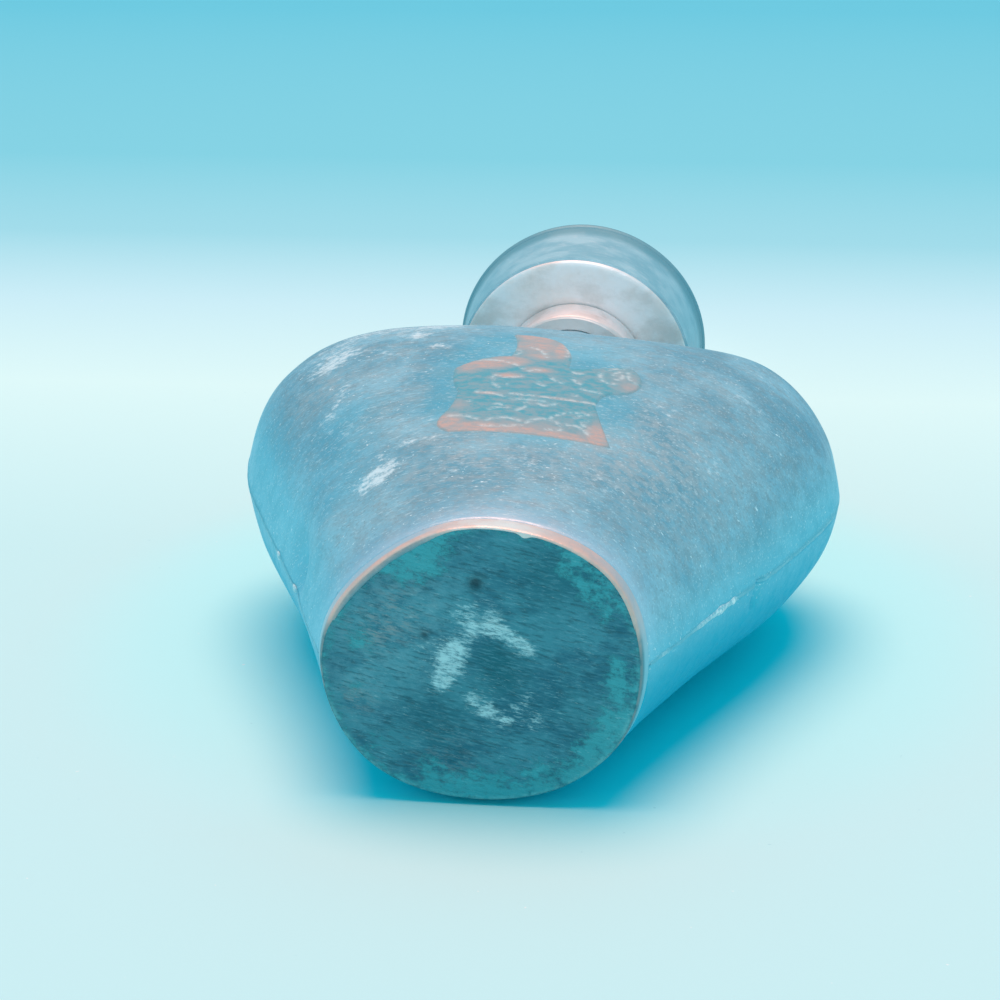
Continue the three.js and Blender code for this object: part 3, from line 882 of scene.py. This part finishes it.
def makeBasePlate():
    shape = plateShape
    angle = fullTurn(shape["segments"])
    shown = lipShown(angle)
    overlap = bandShape["section"][-1][0] - shape["underLip"] + lipOverlap(angle)
    inset = shape["insetBelow"] + (overlap - shape["insetBelow"]) * shown
    share = np.linspace(shape["hub"], 1, shape["rings"])[:, None]
    points = footRing(inset, np.zeros(angle.shape), angle) * share[..., None]
    x, y = points[..., 0], points[..., 1]
    edge = smooth((share - shape["edgeFrom"]) / (1 - shape["edgeFrom"]))
    buckle = 0.05 * uneven(points, 9, 4.0) * (1 - edge)
    points[..., 2] = shape["sunk"] + buckle + lipWave(points) * edge * shown
    pit = np.zeros(x.shape)
    for (pitX, pitY), reach, deep in shape["pits"]:
        dip = bell(np.hypot(x - pitX, y - pitY), reach)
        points[..., 2] += deep * dip
        pit = np.maximum(pit, dip * deep / shape["pitTone"])
    stains = ("worn", "verdigris", "light", "rust", "centre")
    masks = {stain: spread(shape[stain], x, y) for stain in stains}
    masks["verdigris"] = np.clip(masks["verdigris"] + 0.6 * edge, 0, 1)
    masks["pit"] = 0.8 * np.clip(pit, 0, 1)
    masks["edge"] = smooth((share - 0.965) / 0.03) * (0.25 + 0.75 * smooth((y + 2) / 8))
    faces = gridFaces(*points.shape[:2])
    faces.append(tuple(reversed(range(shape["segments"]))))
    plate = addPiece(
        "basePlate", points, faces, basePatina, "bottle", "base_plate", masks)
    thicken(plate, shape["thickness"])


makeBasePlate()
print("foot band and base plate made")


# Ornament on the front: a thin cut plate, chased with scrolls, veins and ring punches
ornamentShape = {
    "foot": 29.3,
    "pitch": 0.22,
    "rimGap": 0.6,  # of the pitch, between the outline and the grid inside it
    "proud": 0.22,
    "buried": 0.08,
    "bevel": 0.3,
    "chaseDepth": 0.10,
    "strokeWidth": 0.26,
    "dotSize": 0.3,
    "curveSteps": 14,
    "outline": [
        [(-9.0, 0.2), (1.3, -0.2), (9.4, -0.3), (12.9, 0.5)],
        [(12.9, 0.5), (11.2, 5.5), (9.7, 11.8)],
        [(9.7, 11.8), (9.6, 15.5), (11.4, 17.2)],
        [(11.4, 17.2), (16.0, 18.2), (16.4, 25.2), (13.6, 28.0)],
        [(13.6, 28.0), (10.5, 28.6), (8.0, 24.4), (4.7, 25.0)],
        [(4.7, 25.0), (5.2, 32.0), (3.0, 35.5)],
        [(3.0, 35.5), (0.4, 39.8), (-4.9, 38.8)],
        [(-4.9, 38.8), (-3.2, 33.5), (-4.2, 28.0)],
        [(-4.2, 28.0), (-8.0, 27.8), (-11.6, 22.6)],
        [(-11.6, 22.6), (-11.6, 17.5), (-9.9, 13.6)],
        [(-9.9, 13.6), (-9.7, 8.8), (-10.8, 6.0)],
        [(-10.8, 6.0), (-12.2, 2.4), (-9.0, 0.2)],
    ],
    "strokes": [
        # scallops and curls on the foot
        [(-10.0, 5.0), (-7.8, 5.2), (-5.7, 3.9)], [(-4.3, 3.6), (-2.4, 5.4), (0.2, 3.6)],
        [(1.0, 3.3), (2.7, 6.4), (5.2, 4.2)], [(4.0, 5.6), (4.8, 8.0), (7.0, 8.8), (8.9, 9.0)],
        [(7.3, 6.8), (7.6, 8.2), (8.9, 8.6)], [(8.8, 6.6), (7.8, 5.0), (9.2, 4.4)],
        [(5.8, 3.6), (7.6, 5.8), (9.5, 2.5)], [(-4.8, 1.7), (-1.6, 1.5), (0.3, 2.3)],
        [(4.0, 2.0), (5.0, 1.9), (5.8, 2.4)],
        # marks and bands on the waist
        [(-4.5, 7.1), (-3.3, 8.2), (-2.3, 7.9)], [(-3.9, 8.7), (-3.3, 9.1), (-2.8, 8.4)],
        [(-0.7, 7.2), (-0.2, 8.0), (0.1, 8.6)], [(0.1, 10.0), (0.4, 10.2), (0.7, 9.8)],
        [(1.9, 10.0), (3.0, 9.1), (4.1, 10.7)], [(-2.3, 12.8), (3.0, 12.6), (10.0, 12.7)],
        [(-2.1, 10.9), (0.4, 11.3), (2.6, 11.1)], [(-7.3, 13.0), (-5.0, 12.8), (-3.3, 11.7)],
        # stems above the waist
        [(-5.6, 19.0), (-5.6, 16.4), (-4.4, 15.0)], [(0.8, 18.1), (1.0, 17.2), (1.8, 16.8)],
        [(2.6, 19.9), (3.4, 18.6), (4.4, 18.5)], [(5.6, 20.7), (6.0, 19.6), (6.8, 19.0)],
        [(7.1, 17.3), (8.4, 16.6), (9.8, 16.8)], [(5.4, 23.2), (6.0, 22.6), (6.7, 23.0)],
        # leaf
        [(-8.4, 25.6), (-4.6, 26.6), (-1.7, 22.7)], [(-5.3, 19.5), (-3.6, 18.2), (-1.7, 19.8)],
        [(-0.8, 22.0), (0.0, 22.8), (0.8, 22.6)],
        # lobe and crest
        [(9.3, 24.2), (9.0, 20.4), (11.5, 20.8)], [(10.0, 25.6), (11.0, 27.2), (12.3, 27.2)],
        [(13.1, 25.9), (13.0, 23.6), (14.4, 22.3)], [(11.2, 24.0), (11.2, 25.4), (12.0, 25.8)],
        [(11.6, 22.6), (12.6, 23.4), (12.4, 24.6)], [(3.4, 34.4), (4.2, 32.0), (3.9, 29.6)],
        [(-3.6, 31.0), (-2.6, 30.0), (-3.4, 28.6)], [(-1.4, 32.4), (0.6, 31.2), (1.0, 28.4)],
    ],
    "dots": [(-3.4, 16.1), (-7.6, 9.8), (6.4, 14.6)],
    "bare": [  # middle, reach and strength of each place rubbed to copper
        (-6.0, 1.0, 4.6, 1.7, 1.0), (0, 0.6, 4.0, 1.4, 0.95), (6, 0.4, 4.0, 1.5, 0.9),
        (-9.6, 3.0, 1.6, 2.2, 1.0), (10.8, 2.6, 1.5, 3.4, 0.95), (-7.2, 24.0, 2.8, 1.6, 1.0),
        (-4.0, 25.6, 2.4, 1.6, 0.95), (-3.4, 19.6, 1.6, 0.8, 0.8), (0.6, 22.6, 1.8, 1.0, 0.8),
        (-1.0, 37.4, 2.8, 1.8, 1.0), (3.0, 32.4, 1.1, 3.6, 1.0), (-3.2, 33.0, 1.2, 3.0, 0.6),
        (0.4, 28.6, 2.4, 1.6, 0.7), (-0.4, 33.4, 3.4, 4.2, 0.72), (13.6, 20.6, 1.6, 1.8, 0.6),
        (12.6, 23.4, 3.2, 3.4, 0.42), (2.0, 2.2, 8.0, 2.2, 0.5), (-9.4, 23.0, 2.0, 2.2, 0.7),
        (-5.6, 12.6, 1.6, 0.5, 0.7), (-9.0, 8.4, 1.4, 1.6, 0.5), (5.0, 12.7, 4.0, 0.4, 0.55),
    ],
}


def insideOutline(points, outline):
    inside = np.zeros(len(points), bool)
    x, y = points.T
    for start, end in zip(outline, np.roll(outline, -1, axis=0)):
        crosses = (start[1] > y) != (end[1] > y)
        rise = end[1] - start[1] if end[1] != start[1] else 1e-9
        inside ^= crosses & (x < (end[0] - start[0]) * (y - start[1]) / rise + start[0])
    return inside


def makeOrnament():
    shape = ornamentShape
    steps, pitch = shape["curveSteps"], shape["pitch"]
    outline = np.vstack([curve(*part, steps=steps)[:-1] for part in shape["outline"]])
    loop = np.vstack([outline, outline[:1]])
    low, high = outline.min(axis=0), outline.max(axis=0)
    lines = [np.arange(low[axis], high[axis], pitch) for axis in (0, 1)]
    grid = np.stack(np.meshgrid(*lines), axis=-1).reshape(-1, 2)
    grid = grid[insideOutline(grid, outline)]
    grid = grid[gapToLine(grid, loop) > shape["rimGap"] * pitch]
    flat = [Vector(point) for point in np.vstack([outline, grid])]
    rim = [(i, (i + 1) % len(outline)) for i in range(len(outline))]
    flat, _, faces, _, _, _ = delaunay_2d_cdt(flat, rim, [list(range(len(outline)))], 1, 1e-5)
    flat = np.array([tuple(point) for point in flat])
    chased = np.zeros(len(flat))
    for stroke in shape["strokes"]:
        gap = gapToLine(flat, curve(*stroke, steps=steps))
        chased = np.maximum(chased, bell(gap, shape["strokeWidth"]))
    for dot in shape["dots"]:
        chased = np.maximum(chased, bell(np.linalg.norm(flat - dot, axis=-1), shape["dotSize"]))
    bare = np.zeros(len(flat))
    for bareX, bareY, reachX, reachY, strength in shape["bare"]:
        gap = np.hypot((flat[:, 0] - bareX) / reachX, (flat[:, 1] - bareY) / reachY)
        bare = np.maximum(bare, strength * bell(gap, 1))
    edge = gapToLine(flat, loop)
    lift = (shape["proud"] + shape["buried"]) * smooth(edge / shape["bevel"]) - shape["buried"]
    lift = lift - shape["chaseDepth"] * chased
    height = flat[:, 1] + shape["foot"]
    points = knocked(angleOf(flat[:, 0], height), height, lift)
    masks = {"chased": chased, "bare": smooth((bare - 0.1) / 0.75), "edge": 1 - smooth(edge / 0.35)}
    faces, finish = [tuple(face) for face in faces], ornamentCopper
    addPiece("ornamentPlate", points, faces, finish, "bottle", "ornament", masks, sharp=70)


makeOrnament()
print("ornament chased")


# Neck, collar and thread
neckShape = {
    "radius": 10.0,
    "bore": 8.2,
    "bottom": 103.5,
    "mouth": 128.2,
    "mouthBevel": (0.4, 0.5),
    "threadStart": 122.3,
    "threadRunOut": 1.2,
    "threadDepth": 0.6,
    "pitch": 2.0,
    "segments": 96,
    "rows": 120,
    "collarRadius": 12.8,
    "collarFoot": 108.25,
    "collarHeight": 3.3,
    "collarGap": 0.1,
    "collarSegments": 120,
    "collarWaver": 0.004,
}


def makeNeck():
    shape = neckShape
    angle = fullTurn(shape["segments"])
    height = np.linspace(shape["bottom"], shape["mouth"], shape["rows"])[:, None] + 0 * angle
    ridge = 0.5 + 0.5 * np.cos(2 * math.pi * (height / shape["pitch"] - angle / (2 * math.pi)))
    threaded = smooth((height - shape["threadStart"]) / shape["threadRunOut"])
    outer = shape["radius"] - shape["threadDepth"] * threaded * (1 - smooth(ridge * 1.6 - 0.3))
    bevel, bevelHeight = shape["mouthBevel"]
    outer = outer - bevel * smooth((height - shape["mouth"] + bevelHeight) / bevelHeight)
    rows = np.concatenate([outer, np.full((2, shape["segments"]), shape["bore"])])
    levels = np.concatenate([height, height[-1:], height[:1]])
    points = np.stack([rows * np.cos(angle), rows * np.sin(angle), levels], axis=-1)
    faces = gridFaces(*points.shape[:2], loopRows=True)
    masks = {"rubbed": 0.3, "polish": 0.2}
    addPiece("neckTube", points, faces, pewter, "bottle", "neck_tube", masks)

    bead, foot = shape["collarHeight"] / 2, shape["collarFoot"]
    inner = shape["radius"] + shape["collarGap"]
    profile = np.vstack([
        [(inner, foot)],
        rounded(shape["collarRadius"] - bead, foot + bead, bead, -90, 90, 16),
        [(inner, foot + shape["collarHeight"])],
    ])
    points, faces = turned(profile, shape["collarSegments"], waver=shape["collarWaver"], seed=6)
    masks = {"rubbed": 0.25, "polish": 0.3}
    addPiece("neckCollar", points, faces, pewter, "bottle", "neck_collar", masks)


makeNeck()


# Cap: socket, dished floor, flared skirt, wired rim and teat, from the underside of its floor
capShape = {
    "floorHeight": 129.8,
    "segments": 160,
    "socketBore": 10.25,
    "socketRadius": 12.25,
    "socketDepth": 7.8,
    "socketLip": [(0, 0.5), (-0.16, 0.3), (-0.16, 0.06), (-0.1, 0)],  # from the bore's mouth
    "socketRoot": [(0, -2.2), (0.1, -1.2), (0.5, -0.3)],  # from the socket's radius
    "socketBead": 0.4,
    "socketBeadRadius": 0.7,
    "socketShadeAndStain": 0.8,
    "milkHole": 2.0,
    "floorRadius": 19.7,
    "floorThickness": 1.0,
    "floorFlange": 4.0,
    "floorDish": [(13.0, 0.0), (13.6, -0.10), (14.2, -0.02), (17.2, 0.04), (19.3, 0.02)],
    "floorEdge": 0.40,
    "floorShadeAndStain": 0.75,
    "skirtFoot": 20.9,
    "skirtRim": 22.4,
    "skirtWall": 0.9,
    "skirtStart": 0.9,
    "skirtEnd": 17.6,
    "skirtWaver": 0.006,
    "rimWire": 0.9,
    "rimWireGap": 0.12,
    "rimTone": 0.85,
    "rimToneFrom": 13.5,
    "rimToneFade": 3.0,
    "washer": [  # distance from the axis and height
        (8.25, -1.28), (9.6, -1.28), (9.72, -1.1), (9.72, -0.4), (9.6, -0.28), (8.25, -0.28),
    ],
    "washerSegments": 72,
}


def makeCap():
    shape = capShape
    base, segments = shape["floorHeight"], shape["segments"]
    bore, outer = shape["socketBore"], shape["socketRadius"]
    foot, beadRadius = -shape["socketDepth"], shape["socketBeadRadius"]
    root = np.array(shape["socketRoot"]) + (outer, 0)
    socket = np.vstack([
        np.array(shape["socketLip"]) + (bore, foot),
        [(outer - 0.1, foot)],
        rounded(outer + shape["socketBead"] - beadRadius, foot + 0.8, beadRadius, -80, 80, 10),
        [(outer, foot + 1.9)],
        root,
        [(bore, root[-1, 1])],
    ])
    points, faces = turned(socket, segments, base)
    # the socket darkened: painted shade, partly brown stain
    masks = {"dull": shape["socketShadeAndStain"]}
    addPiece("capSocket", points, faces, capTin, "cap", "cap_socket", masks)

    wall, edge, hole = shape["floorThickness"], shape["floorRadius"], shape["milkHole"]
    floor = np.vstack([
        [(hole, 0.3), (hole + 0.3, 0)],
        shape["floorDish"],
        rounded(edge + 0.45, 0.42, shape["floorEdge"], -80, 70, 7),
        [(edge, 0.95), (edge, shape["floorFlange"]), (edge - wall, shape["floorFlange"])],
        rounded(edge - 1.8, 1.8, 0.8, 0, -90, 6),
        [(hole, wall)],
    ])
    points, faces = turned(floor, segments, base)
    radius = np.hypot(points[..., 0], points[..., 1])
    # Darker away from the floor's top and near the socket: painted shade, partly brown stain
    lower = smooth((0.9 + points[..., 1] / np.maximum(radius, 1)) / 0.6)
    masks = {"dull": shape["floorShadeAndStain"] * np.maximum(smooth((16 - radius) / 4), lower)}
    addPiece("capFloor", points, faces, capTin, "cap", "cap_floor", masks)

    start, end, narrow = shape["skirtStart"], shape["skirtEnd"], shape["skirtFoot"]
    flare = (narrow, start), (narrow, (start + end) / 2), (shape["skirtRim"], end)
    face = curve(*flare, steps=22)
    inner = face[::-1] - np.array([shape["skirtWall"], 0])
    lip = [(edge + 0.04, start - 0.2)]
    knocks = {"waver": shape["skirtWaver"], "seed": 1}
    points, faces = turned(np.vstack([face, inner, lip]), segments, base, **knocks)
    tone = smooth((points[..., 2] - base - shape["rimToneFrom"]) / shape["rimToneFade"])
    masks = {"rim": shape["rimTone"] * tone}
    addPiece("capSkirt", points, faces, capSkirtPewter, "cap", "cap_skirt", masks)

    wire = shape["rimWire"]
    middle = shape["skirtRim"] - shape["skirtWall"] / 2
    profile = rounded(middle, end + shape["rimWireGap"] + wire, wire, -180, 150, 12)
    points, faces = turned(profile, segments, base, **knocks)
    masks = {"rim": shape["rimTone"]}
    addPiece("capRimWire", points, faces, capSkirtPewter, "cap", "cap_rim_wire", masks)

    points, faces = turned(shape["washer"], shape["washerSegments"], base)
    addPiece("sealWasher", points, faces, washerLeather, "seal", "seal_washer")


teatShape = {
    "segments": 64,
    "bottom": 1.2,
    "flange": 7.0,
    "flangeBevel": 0.2,
    "bore": 1.2,
    "boreEnd": 23.4,
    "hole": 0.5,
    "holeStart": 24.5,
    "neck": [(7.0, 1.9), (6.9, 2.6), (4.2, 3.0), (3.5, 8.0)],
    "bulb": [(3.5, 8.0), (3.2, 13.0), (4.9, 15.0), (4.9, 20.0)],
    "tip": [(4.9, 20.0), (4.9, 24.5), (3.0, 27.1), (0.5, 27.2)],
}


def makeTeat():
    shape = teatShape
    bottom, flange, bevel = shape["bottom"], shape["flange"], shape["flangeBevel"]
    profile = np.vstack([
        [(shape["bore"], bottom), (flange - bevel, bottom), (flange, bottom + bevel)],
        curve(*shape["neck"], steps=16),
        curve(*shape["bulb"], steps=14)[1:],
        curve(*shape["tip"], steps=16)[1:],
        [(shape["hole"], shape["holeStart"]), (shape["bore"], shape["boreEnd"])],
    ])
    points, faces = turned(profile, shape["segments"], capShape["floorHeight"])
    masks = {"rubbed": 0.2, "polish": 0.6}
    addPiece("teatPiece", points, faces, pewter, "cap", "teat", masks)


makeCap()
makeTeat()
print("neck, cap and teat turned")


# Floor: a painted pool of lamp light, pale near the bottle and bluer far behind it, with a painted
# cyan shadow tint round the bottle
floorShape = {
    "half": 5.0,
    "sink": 0.0002,
    "dust": (0.25, 0.55, 0.65),
    "dustShare": 0.35,
    "lint": (0.95, 0.97, 0.97),
    "lintShare": 0.8,
    # A painted shadow tint: the floor round the bottle turns more cyan, so its shadow reads cyan
    "near": (0.52, 0.97, 1.00),
    "paintedShadowShare": 0.9,
    "paintedShadowReach": (0.082, 0.10),
    "roughness": 0.9,
}
# The ramp paints the lamp's fall-off: brightest just behind the bottle, darker and bluer far off
floorTones = [  # distance behind the origin in metres, and colour
    (-0.30, (0.60, 0.86, 0.90)),
    (0.03, (0.63, 0.88, 0.90)),
    (0.157, (0.76, 0.96, 0.95)),
    (0.26, (0.62, 0.86, 0.93)),
    (0.381, (0.37, 0.72, 0.82)),
    (0.593, (0.24, 0.65, 0.77)),
    (1.684, (0.156, 0.59, 0.745)),
]


def makeFloor():
    shape = floorShape
    half, drop = shape["half"], -shape["sink"]
    corners = [(-half, -half, drop), (half, -half, drop), (half, half, drop), (-half, half, drop)]
    mesh = bpy.data.meshes.new("floor")
    mesh.from_pydata(corners, [], [(0, 1, 2, 3)])
    addObject("floor", mesh)
    mix = startFinish("paleFloor", shape, 0, specular=0.1)
    place = mix.add("TexCoord", {}).outputs["Object"]
    parts = mix.add("SeparateXYZ", {"Vector": place}).outputs
    first, last = floorTones[0][0], floorTones[-1][0]
    ramp = mix.add("ValToRGB", {"Fac": mix.span(parts["Y"], first, last, kind="LINEAR")})
    stops = ramp.color_ramp.elements
    for index, (distance, colour) in enumerate(floorTones):
        spot = (distance - first) / (last - first)
        stop = stops[index] if index < 2 else stops.new(spot)
        stop.position = spot
        stop.color = (*colour, 1)
    mix.colour = ramp.outputs["Color"]
    # painted cyan shadow tint, strongest round the bottle
    x, y = (mix.times(parts[a], parts[a], reach ** -2) for a, reach in zip("XY", shape["paintedShadowReach"]))
    mix.coat("near", mix.span(mix.maths("ADD", x, y), 0.3, 1.0, shape["paintedShadowShare"], 0.0))
    mix.coat("dust", mix.patches(1.6, 0.235, 0.205, detail=2), shape["dustShare"])
    mix.coat("lint", mix.patches(1.4, 0.775, 0.80, detail=2, shift=0.5), shape["lintShare"])
    mesh.materials.append(mix.dress(shape["roughness"]))


makeFloor()

# Light: a broad warm lamp overhead, a small one on the cap, and a blue room
lamps = {
    "overhead": {
        "kind": "SUN",
        "at": (-0.04, 0.06, 0.9),
        "aim": (0, 0, 0),
        "power": 3.1,
        "spread": 0.80,
        "colour": (1.0, 0.40, 0.25),
    },
    "onCap": {
        "kind": "SPOT",
        "at": (0.02, -0.9, 0.46),
        "aim": (0.002, 0.052, 0.047),
        "power": 18.5,
        "spread": 0.064,
        "size": 0.016,
        "colour": (1.0, 0.72, 0.62),
    },
}
roomColours = {"light": (0.0, 0.61, 0.77), "seen": (0.156, 0.591, 0.745)}


def makeLight():
    for name, lamp in lamps.items():
        data = bpy.data.lights.new(name, lamp["kind"])
        data.energy = lamp["power"]
        data.color = lamp["colour"]
        if lamp["kind"] == "SUN":
            data.angle = lamp["spread"]
        else:
            data.spot_size = lamp["spread"]
            data.spot_blend = 1
            data.shadow_soft_size = lamp["size"]
        light = addObject(name, data)
        light.location = lamp["at"]
        backwards = Vector(lamp["at"]) - Vector(lamp["aim"])
        light.rotation_euler = backwards.to_track_quat("Z", "Y").to_euler()
    world = bpy.data.worlds.new("room")
    bpy.context.scene.world = world
    mix = Mixer(world, roomColours)
    path = mix.add("LightPath", {}).outputs
    seen = mix.maths("MAXIMUM", path["Is Camera Ray"], path["Is Glossy Ray"])
    seen = mix.maths("MAXIMUM", seen, path["Is Transmission Ray"])
    mix.fill(mix.tree.nodes["Background"], {"Color": mix.blended(seen, "light", "seen")})


makeLight()

# Camera where the photograph was taken from: place in metres, turns in degrees
view = {
    "at": (0.032294, -0.333149, 0.113261),
    "down": 15.756,
    "left": 6.761,
    "lens": 79.2,
    "sensor": 36.0,
    "nearest": 0.01,
}


def makeCamera():
    data = bpy.data.cameras.new("camera")
    data.lens = view["lens"]
    data.sensor_width = view["sensor"]
    data.clip_start = view["nearest"]
    camera = addObject("camera", data)
    camera.location = view["at"]
    camera.rotation_euler = (math.radians(90 - view["down"]), 0, math.radians(view["left"]))
    bpy.context.scene.camera = camera


makeCamera()
bpy.context.scene.view_settings.view_transform = "Standard"
print("floor, light and camera set")

bpy.context.view_layer.update()
